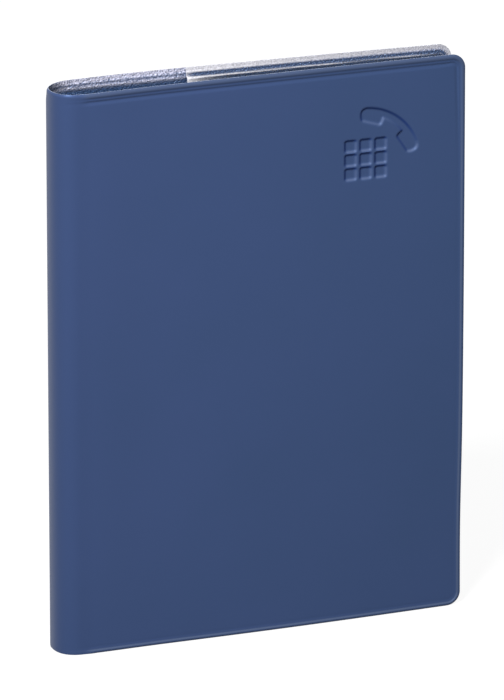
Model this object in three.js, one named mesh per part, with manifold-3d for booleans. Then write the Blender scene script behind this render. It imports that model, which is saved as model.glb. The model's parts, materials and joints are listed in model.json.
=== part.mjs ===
// A closed address book that stands upright. A sewn block of pages with a stepped A to Z index has a
// card wrap, and the card covers are slid into the clear pockets of a soft vinyl slip cover.
// Millimetres, +Z up. The front cover faces -Y, the rounded spine is at -X, and the cover's lower
// edges stand on z = 0. The origin is under the middle of the closed book.
import * as THREE from "three";
import { mergeVertices } from "three/addons/utils/BufferGeometryUtils.js";
import Module from "manifold-3d";

const wasm = await Module();
wasm.setup();

// Page block
const PAGE_WIDTH = 148;
const PAGE_HEIGHT = 210;
const BLOCK_SPINE_THICKNESS = 16;
const BLOCK_FORE_THICKNESS = 10.4;
const BACK_ROUNDING = 3.5;
const INDEX_TABS = 24;
const INDEX_TAB_WIDTH = 7;

// Card wrap of the block
const CARD = 0.4;
const CARD_OVERHANG = 1.5;
const CARD_CORNER_RADIUS = 3;

// Vinyl slip cover
const VINYL = 0.6;
const HEAD_RECESS = 6;
const FORE_EDGE_RECESS = 9.25;
const SPINE_SETBACK = 6.25;
const SPINE_DEPTH = 10;
const CORNER_RADIUS = 5.5;

// Weld that joins the pocket films to the cover: a pressed line that runs parallel to the edges
const WELD_INSET = 2.5;
const WELD_WIDTH = 0.9;
const WELD_DEPTH = 0.15;

// Clear pocket films
const FILM = 0.25;
const POCKET_WIDTH = 104;

// Telephone sign, pressed blind into the front cover; places are from the fore-edge and from the head
const SIGN_DEPTH = 0.3;
const KEY_SIZE = 4.9;
const KEY_CORNER = 0.9;
const KEY_ROWS = 3;
const KEY_COLUMNS = 3;
const KEY_COLUMN_PITCH = 6.05;
const KEY_ROW_PITCH = 5.5;
const KEYPAD_FROM_FORE_EDGE = 46.5;
const KEYPAD_FROM_HEAD = 31.35;
const HANDSET_FROM_FORE_EDGE = 41;
const HANDSET_FROM_HEAD = 40;
const HANDSET_TILT = THREE.MathUtils.degToRad(37.3);
const HANDSET_OUTER_RADIUS = 22.9;
const HANDSET_INNER_RADIUS = 19.8;
const HANDSET_CAP_RADIUS = 16.8;
const HANDSET_HALF_SPAN = THREE.MathUtils.degToRad(42);
const HANDSET_CAP_SPAN = THREE.MathUtils.degToRad(27.5);
const HANDSET_CAP_FLARE = 1;
const HANDSET_CORNER = THREE.MathUtils.degToRad(4);

// Clearances
const SEAT = 0.3;
const HINGE_GAP = 0.3;
const CUT_PAST = 1;
const MERGE_DISTANCE = 1e-4;
const CORNER_SEGMENTS = 5;
const SIGN_SEGMENTS = 3;
const SPINE_SEGMENTS = 14;

// Places that follow from the sizes above
const coverHeight = PAGE_HEIGHT + 2 * HEAD_RECESS;
const coverWidth = SPINE_SETBACK + PAGE_WIDTH + FORE_EDGE_RECESS;
const foreEdgeX = coverWidth / 2;
const spineX = -coverWidth / 2;
const hingeX = spineX + SPINE_DEPTH;
const blockForeX = foreEdgeX - FORE_EDGE_RECESS;
const blockSpineX = spineX + SPINE_SETBACK;
const shoulderX = blockSpineX + BACK_ROUNDING;
const blockTaper = (BLOCK_SPINE_THICKNESS - BLOCK_FORE_THICKNESS) / 2 / (blockForeX - shoulderX);
const wedge = Math.atan(blockTaper);
const coverStack = VINYL + SEAT + CARD + SEAT + FILM + SEAT;
const spineHalf = blockHalf(hingeX) + coverStack / Math.cos(wedge);
const panelLength = (foreEdgeX - hingeX) / Math.cos(wedge);
const cardInner = VINYL + SEAT + CARD;

// Half the block's thickness at a place between its shoulders and its fore-edge
function blockHalf(x) {
  return BLOCK_FORE_THICKNESS / 2 + (blockForeX - x) * blockTaper;
}

const vinylBlue = new THREE.MeshStandardMaterial({ color: 0x46597c, roughness: 0.5, metalness: 0 });
const clearFilm = new THREE.MeshStandardMaterial({
  color: 0xc9cfdd, roughness: 0.2, metalness: 0, transparent: true, opacity: 0.35,
});
const coverCard = new THREE.MeshStandardMaterial({ color: 0xd9d4c6, roughness: 0.85, metalness: 0 });
const paper = new THREE.MeshStandardMaterial({ color: 0xf1ede1, roughness: 0.9, metalness: 0 });

function toSolid(geometry) {
  const bare = geometry.index ? geometry.toNonIndexed() : geometry.clone();
  bare.deleteAttribute("normal");
  bare.deleteAttribute("uv");
  const merged = mergeVertices(bare, MERGE_DISTANCE);
  return new wasm.Manifold(new wasm.Mesh({
    numProp: 3,
    vertProperties: Float32Array.from(merged.attributes.position.array),
    triVerts: Uint32Array.from(merged.index.array),
  }));
}

function toGeometry(solid) {
  const mesh = solid.getMesh();
  const geometry = new THREE.BufferGeometry();
  geometry.setAttribute("position", new THREE.BufferAttribute(mesh.vertProperties, 3));
  geometry.setIndex(new THREE.BufferAttribute(mesh.triVerts, 1));
  geometry.computeVertexNormals();
  return geometry;
}

function pieceOf(name, solid, material) {
  const mesh = new THREE.Mesh(toGeometry(solid), material);
  mesh.name = name;
  return mesh;
}

// An upright prism over an outline drawn in plan
function prism(shape, bottom, top) {
  const geometry = new THREE.ExtrudeGeometry(shape, {
    depth: top - bottom, bevelEnabled: false, curveSegments: SPINE_SEGMENTS,
  });
  geometry.translate(0, 0, bottom);
  return toSolid(geometry);
}

// A flat sheet of one cover. The outline is drawn as seen from the front, from the hinge line towards
// the fore-edge, and the sheet lies between two depths below the cover's outer face.
// side is -1 for the front cover and +1 for the back cover.
function sheet(shape, side, outer, inner, curveSegments = CORNER_SEGMENTS) {
  const geometry = new THREE.ExtrudeGeometry(shape, {
    depth: inner - outer, bevelEnabled: false, curveSegments,
  });
  geometry.rotateX(Math.PI / 2);
  geometry.translate(0, side < 0 ? inner : -outer, 0);
  return toSolid(geometry);
}

// An outline with square corners towards the spine and round corners at the fore-edge
function flagOutline(left, right, bottom, top, radius) {
  const shape = new THREE.Shape();
  shape.moveTo(left, bottom);
  shape.lineTo(right - radius, bottom);
  shape.absarc(right - radius, bottom + radius, radius, -Math.PI / 2, 0);
  shape.lineTo(right, top - radius);
  shape.absarc(right - radius, top - radius, radius, 0, Math.PI / 2);
  shape.lineTo(left, top);
  shape.closePath();
  return shape;
}

// The cover panel's outline, drawn in from its three free edges by an inset
function panelOutline(left, inset) {
  return flagOutline(left, panelLength - inset, inset, coverHeight - inset, CORNER_RADIUS - inset);
}

function roundedKey(centreX, centreZ) {
  const half = KEY_SIZE / 2;
  const shape = new THREE.Shape();
  shape.absarc(centreX + half - KEY_CORNER, centreZ + half - KEY_CORNER, KEY_CORNER, 0, Math.PI / 2);
  shape.absarc(centreX - half + KEY_CORNER, centreZ + half - KEY_CORNER, KEY_CORNER, Math.PI / 2, Math.PI);
  shape.absarc(centreX - half + KEY_CORNER, centreZ - half + KEY_CORNER, KEY_CORNER, Math.PI, 1.5 * Math.PI);
  shape.absarc(centreX + half - KEY_CORNER, centreZ - half + KEY_CORNER, KEY_CORNER, 1.5 * Math.PI, 2 * Math.PI);
  return shape;
}

// The handset: a bowed handle between two arcs, with a cap at each end that reaches further in
function handsetOutline() {
  const centreX = panelLength - HANDSET_FROM_FORE_EDGE;
  const centreZ = coverHeight - HANDSET_FROM_HEAD;
  const middle = Math.PI / 2 - HANDSET_TILT;
  const at = (radius, angle) => [
    centreX + radius * Math.cos(middle - angle),
    centreZ + radius * Math.sin(middle - angle),
  ];
  const handleEnd = HANDSET_HALF_SPAN - HANDSET_CAP_SPAN;
  const capEnd = HANDSET_HALF_SPAN - HANDSET_CORNER / 2;
  const bowEnd = HANDSET_HALF_SPAN - 2 * HANDSET_CORNER;
  const flared = HANDSET_CAP_RADIUS + HANDSET_CAP_FLARE;
  const shoulder = (HANDSET_CAP_RADIUS + HANDSET_INNER_RADIUS) / 2;
  const shape = new THREE.Shape();
  shape.moveTo(...at(HANDSET_INNER_RADIUS, -handleEnd));
  shape.absarc(centreX, centreZ, HANDSET_INNER_RADIUS, middle + handleEnd, middle - handleEnd, true);
  shape.lineTo(...at(shoulder, handleEnd));
  shape.quadraticCurveTo(
    ...at(HANDSET_CAP_RADIUS, handleEnd), ...at(HANDSET_CAP_RADIUS, handleEnd + HANDSET_CORNER),
  );
  shape.lineTo(...at(flared, capEnd));
  shape.quadraticCurveTo(...at(shoulder, HANDSET_HALF_SPAN), ...at(HANDSET_INNER_RADIUS, HANDSET_HALF_SPAN));
  shape.quadraticCurveTo(
    ...at(HANDSET_OUTER_RADIUS, HANDSET_HALF_SPAN), ...at(HANDSET_OUTER_RADIUS, bowEnd),
  );
  shape.absarc(centreX, centreZ, HANDSET_OUTER_RADIUS, middle - bowEnd, middle + bowEnd);
  shape.quadraticCurveTo(
    ...at(HANDSET_OUTER_RADIUS, -HANDSET_HALF_SPAN), ...at(HANDSET_INNER_RADIUS, -HANDSET_HALF_SPAN),
  );
  shape.quadraticCurveTo(...at(shoulder, -HANDSET_HALF_SPAN), ...at(flared, -capEnd));
  shape.lineTo(...at(HANDSET_CAP_RADIUS, -handleEnd - HANDSET_CORNER));
  shape.quadraticCurveTo(...at(HANDSET_CAP_RADIUS, -handleEnd), ...at(shoulder, -handleEnd));
  shape.closePath();
  return shape;
}

// The pressed sign as one tool: a handset over a pad of nine keys
function telephoneSign(side) {
  let tool = sheet(handsetOutline(), side, -CUT_PAST, SIGN_DEPTH);
  for (let row = 0; row < KEY_ROWS; row += 1) {
    for (let column = 0; column < KEY_COLUMNS; column += 1) {
      const x = panelLength - KEYPAD_FROM_FORE_EDGE + column * KEY_COLUMN_PITCH;
      const z = coverHeight - KEYPAD_FROM_HEAD - row * KEY_ROW_PITCH;
      tool = tool.add(sheet(roundedKey(x, z), side, -CUT_PAST, SIGN_DEPTH, SIGN_SEGMENTS));
    }
  }
  return tool;
}

// The pressed weld line round the head, the fore-edge and the foot of a cover panel
function weldLine(side) {
  const outside = sheet(panelOutline(SPINE_DEPTH / 2, WELD_INSET), side, -CUT_PAST, WELD_DEPTH);
  const inside = sheet(panelOutline(0, WELD_INSET + WELD_WIDTH), side, -2 * CUT_PAST, VINYL);
  return outside.subtract(inside);
}

function coverPanel(side) {
  return sheet(panelOutline(HINGE_GAP / 2, 0), side, 0, VINYL).subtract(weldLine(side));
}

// A pocket film: a flange welded along three edges, and a raised part that leaves room for the card.
// It is open towards the spine, where the card slides in.
function pocketFilm(side) {
  const left = panelLength - POCKET_WIDTH;
  const seat = VINYL + SEAT;
  const raised = cardInner + SEAT;
  const wallInset = WELD_INSET + WELD_WIDTH;
  const flange = sheet(panelOutline(left, 0), side, seat, seat + FILM);
  const tray = sheet(panelOutline(left, wallInset), side, seat, raised + FILM);
  const room = sheet(panelOutline(left - CUT_PAST, wallInset + FILM), side, seat - CUT_PAST, raised);
  return flange.add(tray).subtract(room);
}

function cardCover(side) {
  const right = (blockForeX - hingeX) / Math.cos(wedge) + CARD_OVERHANG;
  const outline = flagOutline(
    HINGE_GAP / 2, right, HEAD_RECESS, coverHeight - HEAD_RECESS, CARD_CORNER_RADIUS,
  );
  return sheet(outline, side, VINYL + SEAT, cardInner);
}

// One cover swings about its hinge line, so its pieces share a group that is placed and turned there
function coverGroup(name, side, panel) {
  const group = new THREE.Group();
  group.position.set(hingeX, side * spineHalf, 0);
  group.rotation.z = -side * wedge;
  group.add(pieceOf(`${name}_cover`, panel, vinylBlue));
  group.add(pieceOf(`${name}_pocket`, pocketFilm(side), clearFilm));
  group.add(pieceOf(`${name}_card`, cardCover(side), coverCard));
  return group;
}

// The vinyl over the spine: a half-round strip in plan, between the two hinge lines
function spineCover() {
  const end = hingeX - HINGE_GAP / 2;
  const depth = end - spineX;
  const shape = new THREE.Shape();
  shape.absellipse(end, 0, depth, spineHalf, Math.PI / 2, 1.5 * Math.PI, false, 0);
  shape.absellipse(end, 0, depth - VINYL, spineHalf - VINYL, 1.5 * Math.PI, Math.PI / 2, true, 0);
  shape.closePath();
  return prism(shape, 0, coverHeight);
}

// Draws the block's rounded back in plan, or a line parallel to it, from one shoulder to the other
function addRoundBack(shape, offset, clockwise) {
  const start = Math.PI / 2;
  const end = 1.5 * Math.PI;
  shape.absellipse(
    shoulderX, 0, BACK_ROUNDING + offset, blockHalf(shoulderX) + offset,
    clockwise ? end : start, clockwise ? start : end, clockwise, 0,
  );
}

// The card over the block's rounded back, between the two hinge lines
function spineCard() {
  const end = hingeX - HINGE_GAP / 2;
  const shape = new THREE.Shape();
  shape.moveTo(end, blockHalf(end) + SEAT + CARD);
  addRoundBack(shape, SEAT + CARD, false);
  shape.lineTo(end, -blockHalf(end) - SEAT - CARD);
  shape.lineTo(end, -blockHalf(end) - SEAT);
  addRoundBack(shape, SEAT, true);
  shape.lineTo(end, blockHalf(end) + SEAT);
  shape.closePath();
  return prism(shape, HEAD_RECESS, HEAD_RECESS + PAGE_HEIGHT);
}

// What the index cut takes away beside one tab: every page in front of that tab's own section
function indexCut(tab) {
  const left = blockForeX - INDEX_TAB_WIDTH;
  const right = blockForeX + CUT_PAST;
  const share = tab / INDEX_TABS;
  const shape = new THREE.Shape();
  shape.moveTo(left, -blockHalf(left) - CUT_PAST);
  shape.lineTo(right, -blockHalf(right) - CUT_PAST);
  shape.lineTo(right, blockHalf(right) * (2 * share - 1));
  shape.lineTo(left, blockHalf(left) * (2 * share - 1));
  shape.closePath();
  const tabHeight = PAGE_HEIGHT / INDEX_TABS;
  const top = HEAD_RECESS + PAGE_HEIGHT - tab * tabHeight;
  const bottom = tab === INDEX_TABS - 1 ? HEAD_RECESS - CUT_PAST : top - tabHeight;
  return prism(shape, bottom, top);
}

// The block of pages: a wedge that is thicker along its sewn spine, with the index stepped down its
// fore-edge so that the first page of each letter's section shows from the front
function pageBlock() {
  const shape = new THREE.Shape();
  shape.moveTo(blockForeX, -blockHalf(blockForeX));
  shape.lineTo(blockForeX, blockHalf(blockForeX));
  addRoundBack(shape, 0, false);
  shape.closePath();
  let block = prism(shape, HEAD_RECESS, HEAD_RECESS + PAGE_HEIGHT);
  for (let tab = 1; tab < INDEX_TABS; tab += 1) {
    block = block.subtract(indexCut(tab));
  }
  return block;
}

const book = new THREE.Group();
book.name = "address_book";
book.add(pieceOf("page_block", pageBlock(), paper));
book.add(pieceOf("spine_card", spineCard(), coverCard));
book.add(pieceOf("spine_cover", spineCover(), vinylBlue));
book.add(coverGroup("front", -1, coverPanel(-1).subtract(telephoneSign(-1))));
book.add(coverGroup("back", 1, coverPanel(1)));

export default book;
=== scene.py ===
import json
import math

import bpy
import numpy as np
from mathutils import Matrix, Vector


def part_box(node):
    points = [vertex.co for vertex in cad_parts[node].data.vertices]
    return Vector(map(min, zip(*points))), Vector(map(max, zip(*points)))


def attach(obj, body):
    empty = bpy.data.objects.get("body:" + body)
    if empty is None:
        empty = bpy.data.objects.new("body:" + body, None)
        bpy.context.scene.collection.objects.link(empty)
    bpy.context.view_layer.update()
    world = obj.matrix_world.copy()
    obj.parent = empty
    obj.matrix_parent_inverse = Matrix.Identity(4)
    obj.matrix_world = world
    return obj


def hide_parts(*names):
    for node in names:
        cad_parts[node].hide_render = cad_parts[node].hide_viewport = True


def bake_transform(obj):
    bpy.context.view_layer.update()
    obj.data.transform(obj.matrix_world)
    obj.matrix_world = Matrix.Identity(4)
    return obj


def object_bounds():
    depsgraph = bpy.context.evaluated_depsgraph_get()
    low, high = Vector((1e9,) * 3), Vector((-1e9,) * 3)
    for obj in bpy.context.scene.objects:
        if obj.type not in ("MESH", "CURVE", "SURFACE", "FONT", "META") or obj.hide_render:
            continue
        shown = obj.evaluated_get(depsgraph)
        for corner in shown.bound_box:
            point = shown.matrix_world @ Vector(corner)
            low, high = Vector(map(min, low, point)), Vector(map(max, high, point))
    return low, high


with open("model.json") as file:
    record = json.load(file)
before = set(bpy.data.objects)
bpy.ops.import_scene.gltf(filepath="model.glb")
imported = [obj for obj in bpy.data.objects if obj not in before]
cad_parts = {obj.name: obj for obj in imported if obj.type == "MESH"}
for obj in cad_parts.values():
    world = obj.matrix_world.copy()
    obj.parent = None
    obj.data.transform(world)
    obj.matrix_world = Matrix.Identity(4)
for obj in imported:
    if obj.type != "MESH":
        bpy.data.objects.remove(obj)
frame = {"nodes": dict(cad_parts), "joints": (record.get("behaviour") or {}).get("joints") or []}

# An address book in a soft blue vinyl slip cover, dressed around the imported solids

MM = 0.001
CAD_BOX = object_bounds()

# Sheet thicknesses and depths below the cover's outer face, in millimetres as all lengths that follow
VINYL = 0.6
SEAT = 0.3
CARD = 0.4
FILM = 0.25
CORNER_RADIUS = 5.5
CARD_CORNER_RADIUS = 3.0
HEAD_RECESS = 6.0
CARD_DEPTH = VINYL + 1.5 * SEAT
CARD_EASE = 10.0
FILM_DEPTH = VINYL + CARD + 2 * SEAT

# The pages, their rules and their index letters
PAGES_DROP = 1.3
INDEX_TABS = 24
INDEX_TAB_WIDTH = 7.0
INDEX_LETTERS = list("ABCDEFGHIJKLMNOPQRSTUVW") + ["XYZ"]
LETTER_SIZE = 4.6
SMALL_LETTER_SIZE = 2.9
LETTER_THICKNESS = 0.02
LETTER_CURVE_STEPS = 3
RULE_PITCH = 7.0
RULE_WIDTH = 0.22
RULE_TO_INDEX = 2.0
PAGE_MARGIN = 9.0
PAGE_HEADING = 22.0

# The rim of the cover, as stretches in from the edge: a round lip, two steps down and the soft rise inside
LIP = 0.9
LIP_DROP = 0.42
LIP_ROUNDING = 1.4
LIP_TURN = 5.0
LIP_LINES = np.array([0.02, 0.06, 0.13])
SHARP_FOOT = 0.85
OUTER_STEP = (1.3, 2.3)
OUTER_STEP_DROP = 0.4
WELD_STEP = (2.75, 3.45)
WELD_STEP_DROP = 0.32
SWELL_RISE = (3.5, 5.0)
SWELL = 0.24
RIM_FADE = (-1.3, 3.0)
NARROWER_RIM = 1.4
FAINTER_WELD = 0.15
HEAD_TURN = (0.3, 0.7)
HEAD_RIM_REACH = 28.0
HEAD_RIM_SHARE = 0.85

# Painted sheen on the face's rim: all over its outer band at the head, and a painted highlight along one line
# elsewhere
HEAD_SHEEN = 0.45
HEAD_SHEEN_END = (1.2, 1.9)
FOOT_HIGHLIGHT = 0.7
FOOT_HIGHLIGHT_PLACE = 1.8
FOOT_HIGHLIGHT_WIDTH = 0.45

# The painted highlight on the lining's grain, as shares of its highlight colour, and where that starts or ends
EDGE_HIGHLIGHT = 0.7
EDGE_HIGHLIGHT_END = (1.4, 2.4)
OPEN_HIGHLIGHT = 0.2
OPEN_HIGHLIGHT_END = (3.2, 5.6)
SHOULDER_HIGHLIGHT = 0.45
SHOULDER_HIGHLIGHT_PLACE = 3.5
SHOULDER_HIGHLIGHT_WIDTH = 0.5
SPINE_HIGHLIGHT_ANGLES = (1.9, 3.1)
FRONT_HIGHLIGHT_REACH = 8.0
POCKET_HIGHLIGHT_EDGE = (-1, 1)

# The pocket films: their size, their mesh at the open edge, and how that edge flares off the card
POCKET_WIDTH = 105.5
FRONT_FILM_INSET = 0.35
FILM_GAP = 0.02
MOUTH_ZONE = 3.0
MOUTH_STEP = 0.5
MOUTH_FLARE = 0.25
MOUTH_FLARE_REACH = 2.0

# The film's crease, and the painted highlights on its crease and weld: a pair is a value at the fore-edge and
# its growth up to the open edge
CREASE_PLACE = (3.0, 0.75)
CREASE_WIDTH = (0.14, 0.34)
CREASE_WIDENING = 1.5
CREASE_HIGHLIGHT = (0.22, 0.4)
CREASE_HIGHLIGHT_SHIFT = 0.12
CREASE_HIGHLIGHT_WIDTH = 0.42
WELD_HIGHLIGHT = (0.5, 0.35)
WELD_HIGHLIGHT_START = (1.0, 0.5)
WELD_HIGHLIGHT_END = (2.0, 0.3)

# The film's white elsewhere: a faint haze of its own, and painted highlights at the cut of its open edge and
# beside that cut below the weld
FILM_HAZE = 0.015
CUT_HIGHLIGHT = 0.6
CUT_HIGHLIGHT_REACH = 0.6
MOUTH_HIGHLIGHT = 0.7
MOUTH_HIGHLIGHT_REACH = 4.0
MOUTH_HIGHLIGHT_START = (3.2, 4.0)
MOUTH_HIGHLIGHT_PLACE = 4.0
MOUTH_HIGHLIGHT_WIDTH = 5.0

# The telephone sign, pressed blind; places are from the fore-edge and from the head
SIGN_DEPTH = 0.8
SIGN_WALL = 1.3
SIGN_WALL_EASE = 0.4
SIGN_INSET = 0.1
SIGN_LEFT = 52.0
SIGN_RIGHT = 16.0
SIGN_TOP = 15.0
SIGN_BOTTOM = 48.0
SIGN_MARGIN = 1.0
PRESSED_VINYL = 0.2
# Painted light on the sign's walls: the key light's azimuth in the cover's plane, and how far a wall must face
# towards it for painted highlight, or away from it for painted shade
KEY_LIGHT_AZIMUTH = math.radians(124)
WALL_HIGHLIGHT_FACING = (0.25, 1.0)
WALL_SHADE_FACING = (0.45, -0.25)
KEY_SIZE = 4.6
KEY_CORNER = 0.9
KEY_COUNT = 3
KEY_COLUMN_PITCH = 6.05
KEY_ROW_PITCH = 5.5
KEYPAD_FROM_FORE_EDGE = 46.1
KEYPAD_FROM_HEAD = 32.0
HANDSET_FROM_FORE_EDGE = 40.8
HANDSET_FROM_HEAD = 40.35
HANDSET_TILT = math.radians(37.3)
HANDSET_OUTER_RADIUS = 22.9
HANDSET_INNER_RADIUS = 19.8
HANDSET_CAP_RADIUS = 16.8
HANDSET_CAP_FLARE = 1.0
HANDSET_HALF_SPAN = math.radians(40.8)
HANDSET_CAP_SPAN = math.radians(27.5)
HANDSET_CORNER = math.radians(4)
HANDSET_CORNER_POINTS = 6
HANDSET_INNER_POINTS = 8
HANDSET_OUTER_POINTS = 16

# How far the soft cover bows out of its flat plane, and where it spreads or is pressed in
FRONT_FOOT_BOW = 1.3
FRONT_HEAD_BOW = -0.3
BACK_FOOT_BOW = 0.7
BACK_HEAD_BOW = 1.1
FORE_EDGE_BOW = 0.8
FORE_EDGE_SPREAD = 0.38
SPREAD_POWER = 4
DENT = 0.45
DENT_HEIGHT = 33.0
DENT_REACH = 30.0
SHOULDER_SWELL = 0.9
SHOULDER_REACH = 20.0
HEAD_PINCH = 1.0
HINGE_EASE = 12.0
SPINE_FOOT_SPREAD = 0.3
FRONT_ROUNDNESS = 2.5
BACK_ROUNDNESS = 2.0
PINCHED_ROUNDNESS = 1.7

# Mesh steps
COARSE_STEP = 3.5
RIM_STEP = 0.25
RIM_REACH = 7.0
HINGE_STEP = 1.0
HINGE_ZONE = 6.0
SIGN_STEP = 0.33
CARD_RIM_STEP = 0.4
CARD_RIM_REACH = 4.0
SPINE_COLUMNS = 36
SEAM_INSET = math.radians(1.5)
SHARP_ANGLE = math.radians(50)

# Limits that keep a division from failing and that stand for far away
TINY = 1e-9
FAR = 1e9

# Colours, as linear red, green and blue
VINYL_DARK = (0.035, 0.061, 0.140)
VINYL_PALE = (0.041, 0.067, 0.162)
# Painted sheen for the face's rim
VINYL_RIM_SHEEN = (0.075, 0.095, 0.145)
# Painted highlight and painted shade for the walls of the pressed sign
VINYL_WALL_HIGHLIGHT = (0.072, 0.1, 0.19)
VINYL_WALL_SHADE = (0.017, 0.042, 0.165)
VINYL_SHEEN_TINT = (0.3, 0.5, 1.0)
LINING_DARK = (0.012, 0.032, 0.09)
# Painted highlight for the lining's grain
LINING_HIGHLIGHT = (0.52, 0.52, 0.65)
LINING_SHEEN_TINT = (0.5, 0.68, 1.0)
# The film's white: its faint haze, and painted highlights where it is welded, creased or cut
FILM_WHITE = (0.62, 0.62, 0.68)
CARD_DARK = (0.66, 0.63, 0.55)
CARD_PALE = (0.72, 0.69, 0.6)
# The leaf edges are darker than the page paper: painted shade of the gaps between the leaves
LEAF_DARK = (0.46, 0.44, 0.385)
LEAF_PALE = (0.63, 0.61, 0.555)
PAGE_PAPER = (0.8, 0.785, 0.72)
RULE_BLUE = (0.36, 0.43, 0.56)
INK = (0.02, 0.04, 0.12)
FLOOR_GREY = (0.12, 0.12, 0.12)
WHITE = (1, 1, 1)

# How noise turns into colour: the range of it that counts, and how strong the speckle of a grain then is
NOISE_RANGE = (0.3, 0.7)
GRAIN_RANGE = (0.36, 0.6)
LINING_SPECKLE = (0.1, 1.6)
FILM_SPECKLE = (0.5, 1.3)

# How the face of the vinyl varies: its sheen, plain and lowered on the sign's walls in painted shade, a painted
# shade from the hinge to the fore-edge, and a darkening round the spine
FACE_SHEEN = 0.35
WALL_SHADE_SHEEN = 0.05
PAINTED_SHADE_SHIFT = 0.35
SPINE_DARKEST = 0.84
DARKENING_PAST_HINGE = 4.0

# The photograph's camera, from a fit of the cover's outline
IMAGE_WIDTH = 504
IMAGE_HEIGHT = 700
CAMERA_YAW = math.radians(19.55)
CAMERA_PITCH = math.radians(18.55)
FOCAL_PIXELS = 7563
PIXELS_PER_MM = 2.6305
CENTRE_PIXEL = (254.1, 348.8)
SENSOR = 36.0

# The studio, in metres and watts
CLIP_START = 0.05
CLIP_END = 50
FLOOR_SIZE = 30
FLOOR_DROP = 0.0001
FLOOR_GLOW = 0.9
WORLD_LIGHT = 0.08
WORLD_SHOWN = 1.0
LAMP_AIM = (0, 0, 0.11)

# Places that follow from the frame, in millimetres
HINGE_X = frame["joints"][0]["pos_m"][0] / MM
SPINE_X = CAD_BOX[0].x / MM
FORE_X = CAD_BOX[1].x / MM
HEIGHT = CAD_BOX[1].z / MM
HALF_AT_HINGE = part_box("spine_cover")[1].y / MM
HALF_AT_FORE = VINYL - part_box("front_cover")[1].y / MM
CARD_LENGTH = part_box("front_card")[1].x / MM - HINGE_X
CARD_SPINE_LOW, CARD_SPINE_HIGH = (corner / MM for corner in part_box("spine_card"))
BLOCK_LOW, BLOCK_HIGH = (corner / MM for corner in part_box("page_block"))
WEDGE = math.atan((HALF_AT_HINGE - HALF_AT_FORE) / (FORE_X - HINGE_X))
PANEL_LENGTH = (FORE_X - HINGE_X) / math.cos(WEDGE)
SPINE_DEPTH = HINGE_X - SPINE_X

# Columns behind each hinge line, as angles round the spine: the front wrap has them all, the back its seam
ROUND_SPINE = np.linspace(math.pi - SEAM_INSET, 0, SPINE_COLUMNS + 1)[:-1]
SEAM_ONLY = np.array([SEAM_INSET])


# Curves and mesh lines


def smooth_step(low, high, value):
    share = np.clip((value - low) / (high - low), 0, 1)
    return share * share * (3 - 2 * share)


def ridge(value, centre, width):
    return np.exp(-(((value - centre) / width) ** 2))


def edge_distance(along, z):
    """Distance in from the head, the foot or the fore-edge of a cover with round fore-edge corners."""
    across = along - (PANEL_LENGTH - CORNER_RADIUS)
    up = np.abs(z - HEIGHT / 2) - (HEIGHT / 2 - CORNER_RADIUS)
    outside = np.hypot(np.maximum(across, 0), np.maximum(up, 0))
    return CORNER_RADIUS - outside - np.minimum(np.maximum(across, up), 0)


def fit_corner(along, z, radius=CORNER_RADIUS, length=PANEL_LENGTH, bottom=0.0, top=HEIGHT):
    """Draws columns near the fore-edge in, so that the grid's last column follows the round corners."""
    from_end = np.minimum(z - bottom, top - z)
    drop = np.clip(radius - from_end, 0, radius)
    reach = length - radius + np.sqrt(radius**2 - drop**2)
    zone = length - 2 * radius
    share = np.maximum(along - zone, 0) / (length - zone)
    return np.where(along > zone, zone + share * (reach - zone), along)


def spaced(start, end, step):
    count = max(1, round((end - start) / step))
    return list(np.linspace(start, end, count + 1))


def lines(*stretches):
    """Grid lines from stretches of (start, end, step), each once and in order."""
    found = [value for stretch in stretches for value in spaced(*stretch)]
    return np.unique(np.round(found, 4))


def with_lip(values, low=None, high=None):
    """The same lines, with a few more that are close to the low or the high end."""
    extra = []
    if low is not None:
        extra.append(low + LIP_LINES)
    if high is not None:
        extra.append(high - LIP_LINES)
    return np.unique(np.concatenate([values, *extra]))


def coarse_around(start, end, fine):
    """Stretches from start to end: fine over each (low, high) of fine, and coarse between them."""
    stretches = []
    for low, high in fine:
        stretches.append((start, low, COARSE_STEP))
        stretches.append((low, high, SIGN_STEP))
        start = high
    stretches.append((start, end, COARSE_STEP))
    return stretches


def rows_between(bottom, top, fine=()):
    """The heights of a sheet's rows, close together at its foot and its head."""
    stretches = coarse_around(bottom + RIM_REACH, top - RIM_REACH, fine)
    stretches.append((bottom, bottom + RIM_REACH, RIM_STEP))
    stretches.append((top - RIM_REACH, top, RIM_STEP))
    return with_lip(lines(*stretches), bottom, top)


def cover_grid(along_lines, z_lines):
    along, z = np.meshgrid(along_lines, z_lines)
    return fit_corner(along, z), z


# The form of the cover


def head_rim(z):
    """1 at the head of the cover, and 0 from the card's head down."""
    return smooth_step(HEIGHT - HEAD_RECESS + SEAT, HEIGHT, z)


def swell_at(side, along, z):
    """How far a cover stands out of its plane near the hinge line, where the head of the back is pinched in."""
    near = np.exp(-((np.maximum(along, 0) / SHOULDER_REACH) ** 2))
    if side < 0:
        return SHOULDER_SWELL * near
    return -HEAD_PINCH * head_rim(z) * near


def panel_point(side, along, depth, z):
    """Plan place of a point ahead of the hinge line, with y as if for the back cover."""
    share = np.clip(along / PANEL_LENGTH, 0, 1)
    eased = np.where(along < HINGE_EASE, along**2 / (2 * HINGE_EASE), along - HINGE_EASE / 2)
    spread = FORE_EDGE_SPREAD - DENT * ridge(z, DENT_HEIGHT, DENT_REACH)
    x = HINGE_X + along * math.cos(WEDGE) - depth * math.sin(WEDGE) + spread * share**SPREAD_POWER
    y = HALF_AT_HINGE - eased * math.sin(WEDGE) - depth * math.cos(WEDGE) + swell_at(side, along, z)
    return x, y


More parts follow.
